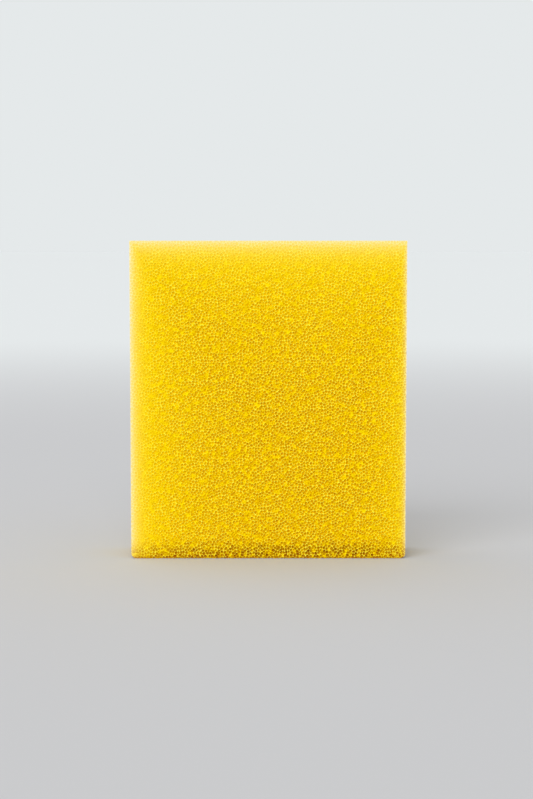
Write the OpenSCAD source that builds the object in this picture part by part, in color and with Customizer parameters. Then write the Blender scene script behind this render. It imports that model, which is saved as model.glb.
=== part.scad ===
// Scouring pad: one slab of open-cell foam, cut with straight faces and standing on its narrow edge.
// Every cut face but the one it stands on is opened into cells, each a pit between ridges. The foam's
// own cells are about 1.3 mm across, so that one pit here stands for a small group of them.

/* [Pad] */
// Width of the pad, left to right
pad_width = 100; // [80:1:110]
// Thickness of the pad, front to back
pad_thickness = 25; // [15:1:30]
// Height of the pad as it stands
pad_height = 115.5; // [90:0.5:120]
// Rounding of the two lower corners
corner_radius = 2; // [0.5:0.5:5]

/* [Open cells] */
// Distance from the middle of one cell to the next
cell_pitch = 3.6; // [3.5:0.1:8]
// Depth of a cell's middle below the cut face
cell_depth = 1.8; // [0.5:0.1:3]
// Most that a ridge point strays sideways, for each millimetre of pitch
ridge_stray = 0.22; // [0:0.01:0.25]
// Most that a ridge point sinks below the cut face
ridge_sink = 0.4; // [0:0.05:0.6]
// Which random foam is drawn
foam_seed = 7; // [1:1:100]

/* [Hidden] */

foam_yellow = [0.94, 0.76, 0.06];
fewest_cells = 4;        // along any side, so that each face keeps cells clear of its edges
edge_depth_share = 0.34; // deepest pit beside an edge, for each millimetre of pitch
depth_spread = 0.25;     // pits differ in depth by this share, either way
row_stagger = 0.14;      // neighbouring rows shift apart by this share of the pitch, either way
base_trim = 0.02;        // cut off the underside, which makes it one flat face

pad_size = [pad_width, pad_thickness, pad_height];
block_size = pad_size + [0, 0, base_trim];
block_low = [-pad_width / 2, -pad_thickness / 2, -base_trim];
cells = [for (side = pad_size) max(fewest_cells, round(side / cell_pitch))];
pitch = [for (axis = [0:2]) block_size[axis] / cells[axis]];
arc_inset = corner_radius * (1 - cos(45));  // from a square corner in to the middle of its arc

// Ridge points lie on a lattice of cells[0] x cells[1] x cells[2] boxes, of which only the skin is used.
function point_id(p) = (p[0] * (cells[1] + 1) + p[1]) * (cells[2] + 1) + p[2];
lattice = [
    for (i = [0:cells[0]]) for (j = [0:cells[1]]) for (k = [0:cells[2]]) [i, j, k]
];

// One draw between -1 and 1 for each axis of each lattice point.
point_draws = rands(-1, 1, 3 * len(lattice), foam_seed);
function draw(p, axis) = point_draws[3 * point_id(p) + axis];

function on_end(p, axis) = p[axis] == 0 || p[axis] == cells[axis];
function on_edge(p) = len([for (axis = [0:2]) if (on_end(p, axis)) axis]) > 1;
function on_base(p) = p[2] == 0;

// Towards the middle of the pad along an axis, for a point on one of its ends.
function inward(p, axis) = p[axis] == 0 ? 1 : -1;

// Where a ridge point lies along one axis: strayed along the face, or sunk into it.
function row_shift(p, axis) = (p[0] + p[1] + p[2] - p[axis]) % 2 == 0 ? row_stagger : -row_stagger;
function strayed(p, axis) = pitch[axis] * (ridge_stray * draw(p, axis) + row_shift(p, axis));
function sunk(p, axis) =
    on_edge(p) || on_base(p) ? 0 : inward(p, axis) * ridge_sink * abs(draw(p, axis));
function ridge_along(p, axis) =
    block_low[axis] + p[axis] * pitch[axis] + (on_end(p, axis) ? sunk(p, axis) : strayed(p, axis));
function ridge_plain(p) = [for (axis = [0:2]) ridge_along(p, axis)];

// The rounded lower corners: a point at the middle of the arc, and one at each of its ends.
function beside_end(p) = p[0] == 1 || p[0] == cells[0] - 1;
function left_half(p) = p[0] < cells[0] / 2;
function from_side(p, inset) = (pad_width / 2 - inset) * (left_half(p) ? -1 : 1);
function ridge_point(p) =
    let (plain = ridge_plain(p))
    on_base(p) && on_end(p, 0) ? [from_side(p, arc_inset), plain[1], arc_inset]
    : on_base(p) && beside_end(p) ? [from_side(p, corner_radius), plain[1], plain[2]]
    : p[2] == 1 && on_end(p, 0) ? [from_side(p, 0), plain[1], corner_radius]
    : plain;

// The open cells of one face, each as its four ridge points, clockwise from outside. across and
// up are the face's own axes, and level is where it cuts the third one.
ring = [[0, 0], [0, 1], [1, 1], [1, 0]];
function face_cells(across, up, level) = [
    for (a = [0:cells[across] - 1]) for (u = [0:cells[up] - 1]) [
        for (step = ring) [
            for (axis = [0:2]) axis == across ? a + step[0] : axis == up ? u + step[1] : level
        ]
    ]
];
function turned_over(faces) = [for (face = faces) [for (n = [3:-1:0]) face[n]]];

front = face_cells(0, 2, 0);
back = turned_over(face_cells(0, 2, cells[1]));
left = turned_over(face_cells(1, 2, 0));
right = face_cells(1, 2, cells[0]);
top = face_cells(0, 1, cells[2]);
open_cells = concat(front, back, left, right, top);

// The middle of a cell: below the mean of its ridge points, and shallower beside an edge, where
// pits of two faces come close.
pit_draws = rands(-1, 1, len(open_cells), foam_seed + 1);
function out_axis(cell) = [for (axis = [0:2]) if (cell[0][axis] == cell[2][axis]) axis][0];
function beside_edge(cell) = len([for (p = cell) if (on_edge(p)) p]) > 0;
function pit_depth(cell, n) =
    let (full = cell_depth * (1 + depth_spread * pit_draws[n]))
    beside_edge(cell) ? min(full, edge_depth_share * min(pitch)) : full;
function mean(points) = [for (axis = [0:2]) sum([for (p = points) p[axis]]) / len(points)];
function sum(list) = list * [for (item = list) 1];
function pit_point(cell, n) =
    let (out = out_axis(cell), middle = mean([for (p = cell) ridge_point(p)]))
    [
        for (axis = [0:2])
        middle[axis] + (axis == out ? inward(cell[0], axis) * pit_depth(cell, n) : 0)
    ];

// The underside is left flat, so its cells are plain four-sided faces.
base_cells = turned_over(face_cells(0, 1, 0));

module foam_block() {
    polyhedron(
        points = concat(
            [for (p = lattice) ridge_point(p)],
            [for (n = [0:len(open_cells) - 1]) pit_point(open_cells[n], n)]
        ),
        faces = concat(
            [
                for (n = [0:len(open_cells) - 1]) for (side = [0:3]) [
                    point_id(open_cells[n][side]),
                    point_id(open_cells[n][(side + 1) % 4]),
                    len(lattice) + n
                ]
            ],
            [for (cell = base_cells) [for (p = cell) point_id(p)]]
        )
    );
}

// All the space below the base, out to twice the pad's size.
module below_base() {
    translate([0, 0, -pad_height]) cube(2 * pad_size, center = true);
}

module foam_pad() {
    color(foam_yellow)
    difference() {
        foam_block();
        below_base();
    }
}

foam_pad();
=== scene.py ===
# Scouring pad: one upright slab of open-cell foam. Its skin is a relief of the struts that are left
# between burst bubbles, as far down as the pores let one see.
import itertools

import bpy
import numpy as np
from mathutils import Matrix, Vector


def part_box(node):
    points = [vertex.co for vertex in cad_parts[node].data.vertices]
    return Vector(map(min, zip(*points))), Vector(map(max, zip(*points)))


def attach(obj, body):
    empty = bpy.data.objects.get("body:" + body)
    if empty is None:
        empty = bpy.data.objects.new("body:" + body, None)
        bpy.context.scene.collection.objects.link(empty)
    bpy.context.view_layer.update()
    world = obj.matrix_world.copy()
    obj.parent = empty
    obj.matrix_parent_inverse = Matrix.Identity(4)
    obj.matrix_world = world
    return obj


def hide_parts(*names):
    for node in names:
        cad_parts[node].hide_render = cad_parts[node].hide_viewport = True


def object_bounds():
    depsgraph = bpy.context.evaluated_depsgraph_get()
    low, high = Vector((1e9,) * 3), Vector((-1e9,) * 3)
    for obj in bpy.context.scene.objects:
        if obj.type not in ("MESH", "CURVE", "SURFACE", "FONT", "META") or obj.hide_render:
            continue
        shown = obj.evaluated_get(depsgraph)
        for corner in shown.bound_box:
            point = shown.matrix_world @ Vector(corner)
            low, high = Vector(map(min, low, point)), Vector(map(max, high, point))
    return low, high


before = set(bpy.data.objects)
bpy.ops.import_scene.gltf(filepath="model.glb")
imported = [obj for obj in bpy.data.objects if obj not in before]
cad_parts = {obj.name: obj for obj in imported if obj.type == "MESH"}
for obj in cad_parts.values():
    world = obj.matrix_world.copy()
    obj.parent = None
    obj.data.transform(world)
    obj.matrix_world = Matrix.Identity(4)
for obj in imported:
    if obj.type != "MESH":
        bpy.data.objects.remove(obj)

cadLow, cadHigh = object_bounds()
padLow, padHigh = (np.array(corner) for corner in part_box("foam_pad"))
padSize = padHigh - padLow
mm = 0.001

foam = {
    "bubbleStep": 1.28 * mm,    # side of a box that holds two bubbles
    "tileBoxes": 30,            # boxes along each side of the block of bubbles that repeats
    "bubbleStray": 0.45,        # how far a bubble may stray from its lattice, in boxes
    "bubbleSeed": 7,
    "pushSteps": 12,            # rounds of pushing the bubbles apart
    "pushReach": 0.95,          # bubbles closer than this many boxes push each other
    "pushShare": 0.3,           # how much of a push is carried out in a round
    "strutReach": 0.08 * mm,    # half the width of a strut
    "strutFlank": 1.7,          # how steeply the relief falls beside a strut
    "rimReach": 0.06 * mm,      # half the width of the rim between two opened bubbles
    "rimFlank": 2.6,            # how steeply the relief falls beside a rim
    "poreDepth": 1.3 * mm,      # how far down struts are looked for
    "depthStep": 0.16 * mm,     # between the depths at which they are looked for
    "edgeRise": 0.9,            # near an edge the pores are no deeper than this share of the way to it
    "edgeDepth": 0.22 * mm,     # or, on the edge, than this
    "snapReach": 0.45,          # a point this near a rim moves onto it, in grid steps
    "nudge": 0.01 * mm,         # how far a point is moved to measure a slope
    "evenRounds": 10,           # rounds of averaging that give the relief's local mean
    "evenShare": 1.0,           # how much of the local mean is taken off the relief
    "toneShare": 0.8,           # and off the depth that colours follow
    "mottleRounds": (18, 54),   # the averages whose difference makes patches of a cell or three
    "mottleSeed": 3,
    "gridStep": 0.265 * mm,     # between the points of the relief
    "cornerRadius": 2 * mm,     # of the two lower corners
    "bandEnds": 0.15,           # share of the height in the lowest band, and in the highest
    "middleBands": 3,           # bands of equal height between those two
}
latticeShift = np.array([0.25, 0.75])   # where a bubble of either lattice lies along a box's sides


def spreadBubbles():
    # Two lattices, one half a box off the other, each bubble moved at random and then pushed away
    # from every neighbour closer than the reach, by a share of the reach less their distance. The
    # block repeats, so its sides meet. The result is each bubble's move from its place, by lattice
    # and box along X, Y and Z.
    rng = np.random.default_rng(foam["bubbleSeed"])
    stray = rng.uniform(-0.5, 0.5, (2, *[foam["tileBoxes"]] * 3, 3))
    for _ in range(foam["pushSteps"]):
        push = np.zeros_like(stray)
        for around in itertools.product((-1, 0, 1), repeat=3):
            for a, b in itertools.product((0, 1), repeat=2):
                if a == b and around == (0, 0, 0):
                    continue
                other = np.roll(stray[b], [-n for n in around], (0, 1, 2)) + around + latticeShift[b]
                away = other - stray[a] - latticeShift[a]
                gap = np.sqrt((away * away).sum(-1, keepdims=True))
                push[a] -= away * np.maximum(foam["pushReach"] / gap - 1, 0)
        stray = np.clip(stray + push * foam["pushShare"], -foam["bubbleStray"], foam["bubbleStray"])
    print("bubbles:", stray[..., 0].size, "in the block that repeats", flush=True)
    return stray


def nearestThree(points, stray):
    # Distances from each point to its three nearest bubbles, searched for in the box that holds the
    # point and the 26 round it.
    step = foam["bubbleStep"]
    box = np.floor(points / step).astype(int)
    near = np.full((3, len(points)), np.inf)
    for around in itertools.product((-1, 0, 1), repeat=3):
        here = box + around
        i, j, k = (here % foam["tileBoxes"]).T
        for a in (0, 1):
            gap = (here + latticeShift[a] + stray[a, i, j, k]) * step - points
            gap = (gap * gap).sum(1)
            near[2] = np.minimum(near[2], np.maximum(near[1], gap))
            near[1] = np.minimum(near[1], np.maximum(near[0], gap))
            near[0] = np.minimum(near[0], gap)
    return np.sqrt(near)


def snapToRims(points, inward, free, stray):
    # On a rim the distances to the two nearest bubbles are equal. One Newton step along the skin
    # takes a free point there, where that is a short way: minus gap times slope over slope squared.
    near = nearestThree(points, stray)
    gap = near[1] - near[0]
    slope = []
    for nudge in np.eye(3) * foam["nudge"]:
        near = nearestThree(points + nudge, stray)
        slope.append((near[1] - near[0] - gap) / foam["nudge"])
    slope = np.stack(slope, 1)
    slope -= inward * (slope * inward).sum(1)[:, None]
    move = -slope * (gap / (slope * slope).sum(1))[:, None]
    move[~free | (np.abs(move).max(1) > foam["snapReach"] * foam["gridStep"])] = 0
    return points + move


def poreRelief(points, inward, stray):
    # A strut runs where three bubbles are equally near, so the third distance less the first is
    # zero on its axis. The relief is the least, over all depths, of that depth and the flank's
    # fall from the strut found there. On the cut itself two bubbles leave a rim between them.
    depth = np.full(len(points), foam["poreDepth"])
    for level in np.arange(0, foam["poreDepth"], foam["depthStep"]):
        unseen = np.flatnonzero(depth > level)
        near = nearestThree(points[unseen] + inward[unseen] * level, stray)
        fall = foam["strutFlank"] * np.maximum(near[2] - near[0] - foam["strutReach"], 0)
        if level == 0:
            rim = np.maximum(near[1] - near[0] - foam["rimReach"], 0)
            fall = np.minimum(fall, foam["rimFlank"] * rim)
        depth[unseen] = np.minimum(depth[unseen], level + fall)
    return depth


def localMean(values, quads, rounds):
    # Each point goes half way to the mean of its neighbours along the quads' sides, again and again.
    a = np.concatenate([quads[:, k] for k in range(4)])
    b = np.concatenate([quads[:, k - 3] for k in range(4)])
    count = np.bincount(a, minlength=len(values)) + np.bincount(b, minlength=len(values))
    for _ in range(rounds):
        total = np.bincount(a, values[b], len(values)) + np.bincount(b, values[a], len(values))
        values = (values + total / count) / 2
    return values


def softPatches(count, quads):
    # White noise averaged a little, minus the same averaged more, over its own spread.
    few, many = foam["mottleRounds"]
    fine = localMean(np.random.default_rng(foam["mottleSeed"]).normal(size=count), quads, few)
    patches = fine - localMean(fine, quads, many - few)
    return patches / patches.std()


def skinLattice():
    # The corners of a lattice of boxes that lie on its outside, and its outer faces as four corner
    # numbers each, anticlockwise from outside, by axis and end.
    counts = np.round(padSize / foam["gridStep"]).astype(int)
    onSkin = np.ones(counts + 1, bool)
    onSkin[1:-1, 1:-1, 1:-1] = False
    number = np.full(counts + 1, -1)
    number[onSkin] = np.arange(onSkin.sum())
    sides = {}
    for axis, end in itertools.product(range(3), (0, 1)):
        side = np.moveaxis(number, axis, 0)[-end]
        quads = np.stack([side[:-1, :-1], side[1:, :-1], side[1:, 1:], side[:-1, 1:]], -1)
        quads = quads.reshape(-1, 4)
        sides[axis, end] = quads if (end == 1) == (axis != 1) else quads[:, ::-1]
    return counts, np.argwhere(onSkin), sides


def roundLowerCorners(points, inward):
    # Inside a lower corner's square, rings of the square become arcs: a point at (a, b) from the
    # arc's middle keeps its larger coordinate as its radius.
    tiny = 1e-12            # keeps the arc's middle from dividing by zero
    outermost = 0.999       # share of the radius past which a point is on the outside
    radius = foam["cornerRadius"]
    side = np.sign(points[:, 0])
    across = np.abs(points[:, 0]) - (padHigh[0] - radius)
    down = padLow[2] + radius - points[:, 2]
    inCorner = (across > 0) & (down > 0)
    ring = np.maximum(across, down)
    length = np.maximum(np.hypot(across, down), tiny)
    arcX = side * (padHigh[0] - radius + across * ring / length)
    arcZ = padLow[2] + radius - down * ring / length
    points[:, 0] = np.where(inCorner, arcX, points[:, 0])
    points[:, 2] = np.where(inCorner, arcZ, points[:, 2])
    onArc = inCorner & (ring > radius * outermost)
    inward[:, 0] = np.where(onArc, -side * across / length, inward[:, 0])
    inward[:, 2] = np.where(onArc, down / length, inward[:, 2])


edgeLight = {
    # What light through an edge does there, each as its strength and the length over which it fades:
    # how pale the foam is, how bright, and how much shallower its pores look.
    "left": {"pale": (0.95, 1.3 * mm), "glow": (1.0, 6.6 * mm), "calm": (0.96, 20.0 * mm)},
    "right": {"pale": (0.85, 0.6 * mm), "glow": (0.0, 2.0 * mm), "calm": (0.85, 8.0 * mm)},
    "top": {"pale": (0.78, 2.1 * mm), "glow": (1.0, 8.0 * mm), "calm": (0.94, 26.0 * mm)},
}


def edgeGlow(points, kind):
    # Strength times e to the power of minus distance over length, the most of it for the edges of
    # the left end, the right end and the top. Distance is to an end's or the top's long edges.
    fromLow, fromHigh = points - padLow, padHigh - points
    across = np.minimum(fromLow[:, 1], fromHigh[:, 1])
    gaps = {"left": fromLow[:, 0], "right": fromHigh[:, 0], "top": fromHigh[:, 2]}
    glow = np.zeros(len(points))
    for side, gap in gaps.items():
        strength, length = edgeLight[side][kind]
        glow = np.maximum(glow, strength * np.exp(-np.hypot(gap, across) / length))
    return glow


def bandRows(counts):
    # The lattice heights at which one band ends and the next starts.
    ends = foam["bandEnds"]
    cuts = [0, *np.linspace(ends, 1 - ends, foam["middleBands"] + 1), 1]
    return np.round(np.array(cuts) * counts[2]).astype(int)


def growSkin():
    # Lattice points on the slab's outside, each moved inwards by the relief's depth there.
    counts, place, sides = skinLattice()
    points = padLow + place / counts * padSize
    inward = (place == 0).astype(float) - (place == counts)
    roundLowerCorners(points, inward)
    inward /= np.sqrt((inward ** 2).sum(1))[:, None]
    # Of the distances to the nearer face along X, Y and Z, the second least is that to an edge.
    toEdge = np.sort(np.minimum(points - padLow, padHigh - points), 1)[:, 1]
    stray = spreadBubbles()
    onOneFace = ((place == 0) | (place == counts)).sum(1) == 1
    free = onOneFace & ~np.isin(place[:, 2], bandRows(counts))
    points = snapToRims(points, inward, free, stray)
    pale, glow, calm = (edgeGlow(points, kind) for kind in ("pale", "glow", "calm"))
    below = poreRelief(points, inward, stray)
    allQuads = np.concatenate(list(sides.values()))
    mean = localMean(below, allQuads, foam["evenRounds"])
    uneven = mean - mean.mean()
    depth = below - foam["evenShare"] * uneven
    below = below - foam["toneShare"] * uneven
    depth = np.maximum(depth * (1 - calm), 0)
    depth = np.minimum(depth, np.maximum(foam["edgeRise"] * toEdge, foam["edgeDepth"]))
    print("relief:", len(points), "points, mean depth", round(depth.mean() / mm, 2), "mm, spread",
          round(depth.std() / mm, 2), "mm", flush=True)
    attributes = {"below": below / mm, "pale": pale, "glow": glow, "calm": calm,
                  "patches": softPatches(len(points), allQuads)}
    # Each quad starts at the corner whose diagonal lies higher, so that a fold follows a rim.
    for quads in sides.values():
        turn = depth[quads[:, 1::2]].sum(1) < depth[quads[:, ::2]].sum(1)
        quads[turn] = np.roll(quads[turn], 1, 1)
    return points + inward * depth[:, None], attributes, place, counts, sides


def rimLoop(place, counts, row):
    # The skin's points at one lattice height, in order round the slab, anticlockwise from above.
    at = np.flatnonzero(place[:, 2] == row)
    i, j = place[at, 0], place[at, 1]
    nx, ny = counts[:2]
    way = np.select([j == 0, i == nx, j == ny], [i, nx + j, 2 * nx + ny - i], 2 * (nx + ny) - j)
    return at[np.argsort(way)]


bandMap = {
    "gap": 6,               # lattice steps left free between a band's faces on its map
    "capWidth": 0.4,        # a cap is drawn smaller there, as shares of its width and depth
    "capDepth": 0.3,
}


def layOut(place, counts, low, high):
    # Where a band's faces lie on its map, in lattice steps: the front, the back above it, the two
    # ends side by side above that, then the top or underside. Caps fill the room beside the ends.
    gap = bandMap["gap"]
    nx, ny, rows = counts[0], counts[1], high - low + gap
    up = place[:, 2] - low
    i, j = place[:, 0], place[:, 1]
    size = max(nx, 3 * rows + ny) + 2 * gap
    capAcross = 2 * (ny + gap) + bandMap["capWidth"] * i
    maps = {
        (1, 0): (i, up),
        (1, 1): (i, up + rows),
        (0, 0): (j, up + 2 * rows),
        (0, 1): (j + ny + gap, up + 2 * rows),
        (2, 0): (i, j + 3 * rows),
        (2, 1): (i, j + 3 * rows),
        "lower": (capAcross, 2 * rows + bandMap["capDepth"] * j),
        "upper": (capAcross, 2 * rows + bandMap["capDepth"] * (j + ny + gap)),
    }
    return {key: (np.stack(spot, 1) + gap) / size for key, spot in maps.items()}


def makeBand(name, points, attributes, faces):
    # One mesh from groups of faces, each group as its corner numbers, how many corners a face has,
    # and the corners' places on the map.
    corners = np.concatenate([group[0].ravel() for group in faces])
    sizes = np.concatenate([np.full(group[0].size // group[1], group[1]) for group in faces])
    used, number = np.unique(corners, return_inverse=True)
    mesh = bpy.data.meshes.new(name)
    mesh.vertices.add(len(used))
    mesh.vertices.foreach_set("co", points[used].astype(np.float32).ravel())
    mesh.loops.add(len(corners))
    mesh.loops.foreach_set("vertex_index", number.ravel().astype(np.int32))
    mesh.polygons.add(len(sizes))
    mesh.polygons.foreach_set("loop_start", (np.cumsum(sizes) - sizes).astype(np.int32))
    mesh.update(calc_edges=True)
    mesh.shade_flat()
    layer = mesh.uv_layers.new(name="OFBake")
    spots = np.concatenate([group[2] for group in faces])
    layer.uv.foreach_set("vector", spots.astype(np.float32).ravel())
    for key, values in attributes.items():
        attribute = mesh.attributes.new(key, "FLOAT", "POINT")
        attribute.data.foreach_set("value", values[used].astype(np.float32))
    piece = bpy.data.objects.new(name, mesh)
    bpy.context.scene.collection.objects.link(piece)
    return piece


def makePad(material):
    # The skin in bands one above the other, each closed by a cap where the next one starts.
    points, attributes, place, counts, sides = growSkin()
    rows = bandRows(counts)
    for number, (low, high) in enumerate(zip(rows[:-1], rows[1:]), 1):
        maps = layOut(place, counts, low, high)
        faces = []
        for (axis, end), quads in sides.items():
            # A quad goes with its lowest corner, and the top's quads with the row below them.
            row = place[quads, 2].min(1) - (axis == 2 and end == 1)
            quads = quads[(row >= low) & (row < high)].ravel()
            faces.append((quads, 4, maps[axis, end][quads]))
        for key, row, order in (("lower", low, -1), ("upper", high, 1)):
            if 0 < row < counts[2]:
                loop = rimLoop(place, counts, row)[::order]
                faces.append((loop, len(loop), maps[key][loop]))
        piece = makeBand("foam_band_%d" % number, points, attributes, faces)
        piece.data.materials.append(material)
        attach(piece, "root")
        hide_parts("foam_pad")
        piece.data.calc_loop_triangles()
        print("band", number, ":", len(piece.data.loop_triangles), "triangles", flush=True)


class Shade:
    # A socket of a node tree. Sums, differences and products of shades and numbers add Math nodes.
    def __init__(self, tree, socket=None):
        self.tree = tree
        self.socket = socket

    def node(self, kind, settings=None, sockets=None, output=0):
        made = self.tree.nodes.new("ShaderNode" + kind)
        for key, value in (settings or {}).items():
            setattr(made, key, value)
        for key, value in (sockets or {}).items():
            if isinstance(value, Shade):
                self.tree.links.new(value.socket, made.inputs[key])
            else:
                made.inputs[key].default_value = value
        return Shade(self.tree, made.outputs[output])

    def maths(self, operation, a, b, clamp=False):
        return self.node("Math", {"operation": operation, "use_clamp": clamp}, {0: a, 1: b})

    def mix(self, factor, a, b):
        # A Mix node's colours go in at sockets 6 and 7 and come out at 2.
        return self.node("Mix", {"data_type": "RGBA"}, {0: factor, 6: a, 7: b}, 2)

    def ramp(self, low, high, start=0.0, end=1.0):
        sockets = {"Value": self, "From Min": low, "From Max": high, "To Min": start, "To Max": end}
        return self.node("MapRange", {"interpolation_type": "SMOOTHSTEP"}, sockets)

    def into(self, socket):
        self.tree.links.new(self.socket, socket)

    def __add__(self, other):
        return self.maths("ADD", self, other)

    def __radd__(self, other):
        return self.maths("ADD", other, self)

    def __sub__(self, other):
        return self.maths("SUBTRACT", self, other)

    def __rsub__(self, other):
        return self.maths("SUBTRACT", other, self)

    def __mul__(self, other):
        return self.maths("MULTIPLY", self, other)

    def __rmul__(self, other):
        return self.maths("MULTIPLY", other, self)


def newMaterial(name):
    # A material, its node tree to add to, and its shader.
    material = bpy.data.materials.new(name)
    material.use_nodes = True
    return material, Shade(material.node_tree), material.node_tree.nodes["Principled BSDF"]


foamFinish = {
    "crestHighlight": (0.98, 0.89, 0.065, 1),      # a painted highlight on the tops of the struts, pale where light catches them
    "strut": (0.96, 0.73, 0.0003, 1),     # the yellow of a strut
    "poreShade": (0.79, 0.50, 0.0003, 1),      # painted shade: the deeper yellow down a pore
    "bright": (0.97, 0.67, 0.001, 1),     # yellow with light behind it
    "pale": (0.95, 0.86, 0.55, 1),        # an edge with light behind it
    "footShade": (0.38, 0.12, 0.0005, 1),      # painted shade down a pore just above the base
    "crestEnd": 0.10,                     # mm down where the painted highlight's colour ends
    "poreStart": 0.0,                     # mm down where the painted shade of a pore starts
    "poreEnd": 0.37,                      # mm down where it is fully the pore's
    "footLow": 0.5,                       # mm above the base, where the painted shade in the pores is darkest
    "footHigh": 8.0,                      # and where that has faded
    "footShare": 0.7,                     # how much of the painted shade's colour the pores take there
    "baseLow": 0.2,                       # mm above the base, where the painted shade on the lowest struts is darkest
    "baseHigh": 1.0,                      # and where that has faded
    "baseShare": 0.5,                     # how much of it those struts take
    "calmShare": 0.3,                     # how much of the calm of an edge its colours share
    "paleGap": 0.45,                      # how much less pale the pores are than the struts
    "calmTone": 0.85,                     # how far down a calm place looks, as a share of the painted pore shade
    "mottleShare": 0.29,                  # how much soft patches change how deep a place looks
    "roughness": 0.5,
    "specular": 0.02,
}


def foamMaterial():
    # Colour runs from a painted highlight on a strut's crest down to painted shade in a pore with
    # depth, shifted by soft patches, darkened by painted shade near the base, and mixed with brighter
    # and paler yellow painted where light comes through an edge.
    material, shade, shader = newMaterial("foam")
    look = foamFinish
    below, pale, glow, calm, patches = (
        shade.node("Attribute", {"attribute_name": key}, output="Fac")
        for key in ("below", "pale", "glow", "calm", "patches"))
    where = shade.node("TexCoord", output="Object")
    height = shade.node("SeparateXYZ", sockets={0: where}, output="Z") * (1 / mm)
    # Painted shade near the base: darker pores up to a few millimetres, and darker lowest struts.
    footShade = height.ramp(look["footLow"], look["footHigh"], look["footShare"], 0)
    baseShade = height.ramp(look["baseLow"], look["baseHigh"], look["baseShare"], 0)
    calm = calm * look["calmShare"]
    # A painted highlight along the struts' crests, less of it where an edge is calm.
    crestHighlight = below.ramp(0, look["crestEnd"], 1, 0) * (1 - calm)
    # Painted shade down the pores grows with depth, shifted by soft patches and evened where an edge is
    # calm.
    hollow = below.ramp(look["poreStart"], look["poreEnd"])
    poreShadeMix = (hollow + patches * look["mottleShare"]) * (1 - calm) + calm * look["calmTone"]
    colour = shade.mix(poreShadeMix, look["strut"], look["poreShade"])
    colour = shade.mix(poreShadeMix * footShade, colour, look["footShade"])
    # Painted light through the edges, as brighter and then paler yellow, fading towards the base.
    colour = shade.mix(glow * (1 - footShade), colour, look["bright"])
    colour = shade.mix(crestHighlight, colour, look["crestHighlight"])
    colour = shade.mix(baseShade, colour, look["footShade"])
    pale = pale * (1 - footShade) * (1 - hollow * look["paleGap"])
    colour = shade.mix(pale, colour, look["pale"])
    colour.into(shader.inputs["Base Color"])
    shader.inputs["Roughness"].default_value = look["roughness"]
    shader.inputs["Specular IOR Level"].default_value = look["specular"]
    return material


stage = {
    "near": (0.591, 0.597, 0.610),        # the floor as it is seen under these lamps
    "far": (0.783, 0.815, 0.823),         # the same far off, and the backdrop
    "nearEdge": 0.35,                     # metres from the pad where the near colour starts to fade
    "farEdge": 1.6,                       # and where it is fully the far one
    "reach": 30.0,                        # metres from the pad to the floor's ends
    "worldLevel": 0.58,                   # the backdrop's light on the pad
}

lamps = {
    # Where each lamp stands, in degrees round from the front and up, how many degrees wide it is,
    # and its power.
    "front": {"turn": -20, "rise": 24, "width": 60, "power": 1.92},
    "back": {"turn": -140, "rise": 55, "width": 60, "power": 0.3},
}
lampDistance = 2        # metres


def floorLevel():
    # How bright a white floor is: the backdrop's light, and each lamp's power times the sine of
    # its rise over pi.
    fromLamps = sum(lamp["power"] * np.sin(np.radians(lamp["rise"])) / np.pi for lamp in lamps.values())
    return stage["worldLevel"] + fromLamps


def makeFloor():
    # A level square whose colour runs from the near one to the far one with distance from the pad.
    reach = stage["reach"]
    corners = [(-reach, -reach, 0), (reach, -reach, 0), (reach, reach, 0), (-reach, reach, 0)]
    mesh = bpy.data.meshes.new("floor")
    mesh.from_pydata(corners, [], [(0, 1, 2, 3)])
    floor = bpy.data.objects.new("floor", mesh)
    bpy.context.scene.collection.objects.link(floor)
    material, shade, shader = newMaterial("floor")
    where = shade.node("TexCoord", output="Object")
    away = shade.node("VectorMath", {"operation": "LENGTH"}, {0: where}, "Value")
    near, far = ((*(np.array(stage[key]) / floorLevel()), 1) for key in ("near", "far"))
    colour = shade.mix(away.ramp(stage["nearEdge"], stage["farEdge"]), near, far)
    colour.into(shader.inputs["Base Color"])
    shader.inputs["Roughness"].default_value = 1
    shader.inputs["Specular IOR Level"].default_value = 0
    mesh.materials.append(material)


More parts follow.
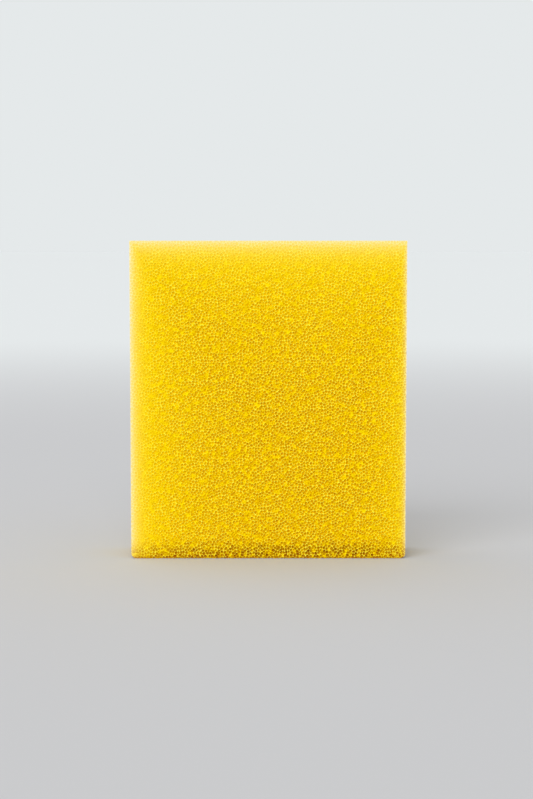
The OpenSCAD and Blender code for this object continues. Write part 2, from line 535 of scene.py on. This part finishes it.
def makeBackdrop():
    # White light on the pad at the world's level, and the far colour at full strength in view.
    world = bpy.data.worlds.new("studio")
    bpy.context.scene.world = world
    world.use_nodes = True
    shade = Shade(world.node_tree)
    background = world.node_tree.nodes["Background"]
    camera, glossy, through = (shade.node("LightPath", output="Is %s Ray" % kind)
                               for kind in ("Camera", "Glossy", "Transmission"))
    seen = shade.maths("ADD", camera + glossy, through, clamp=True)
    shade.mix(seen, (1, 1, 1, 1), (*stage["far"], 1)).into(background.inputs["Color"])
    (seen * (1 - stage["worldLevel"]) + stage["worldLevel"]).into(background.inputs["Strength"])


def makeLamps():
    # Sun lamps that point at the origin. One stands sin turn times cos rise to the right, cos turn
    # times cos rise to the front and sin rise up, times the lamps' distance.
    for name, values in lamps.items():
        light = bpy.data.lights.new(name, "SUN")
        light.angle = np.radians(values["width"])
        light.energy = values["power"]
        lamp = bpy.data.objects.new(name, light)
        turn, rise = np.radians(values["turn"]), np.radians(values["rise"])
        away = Vector((np.sin(turn) * np.cos(rise), -np.cos(turn) * np.cos(rise), np.sin(rise)))
        lamp.rotation_euler = (-away).to_track_quat("-Z", "Y").to_euler()
        lamp.location = away * lampDistance
        bpy.context.scene.collection.objects.link(lamp)


view = {
    "distance": 0.664,      # metres
    "rise": 4.9,            # degrees above level, which brings the camera level with the pad's top
    "lens": 81.05,          # mm
    "aside": -0.66 * mm,    # where it looks, from the middle of the pad
    "lift": -0.63 * mm,
    "clipEnd": 100,         # metres
}


def makeCamera():
    # The camera stands in front, cos rise times its distance off and sin rise times that up, and
    # points at the target.
    data = bpy.data.cameras.new("camera")
    data.lens = view["lens"]
    data.clip_end = view["clipEnd"]
    camera = bpy.data.objects.new("camera", data)
    bpy.context.scene.collection.objects.link(camera)
    target = Vector((view["aside"], 0, cadHigh[2] / 2 + view["lift"]))
    rise = np.radians(view["rise"])
    camera.location = target + view["distance"] * Vector((0, -np.cos(rise), np.sin(rise)))
    camera.rotation_euler = (target - camera.location).to_track_quat("-Z", "Y").to_euler()
    bpy.context.scene.camera = camera


makeCamera()
makePad(foamMaterial())
makeFloor()
makeBackdrop()
makeLamps()
bpy.context.scene.view_settings.view_transform = "Standard"
print("floor, backdrop, lamps and camera done", flush=True)
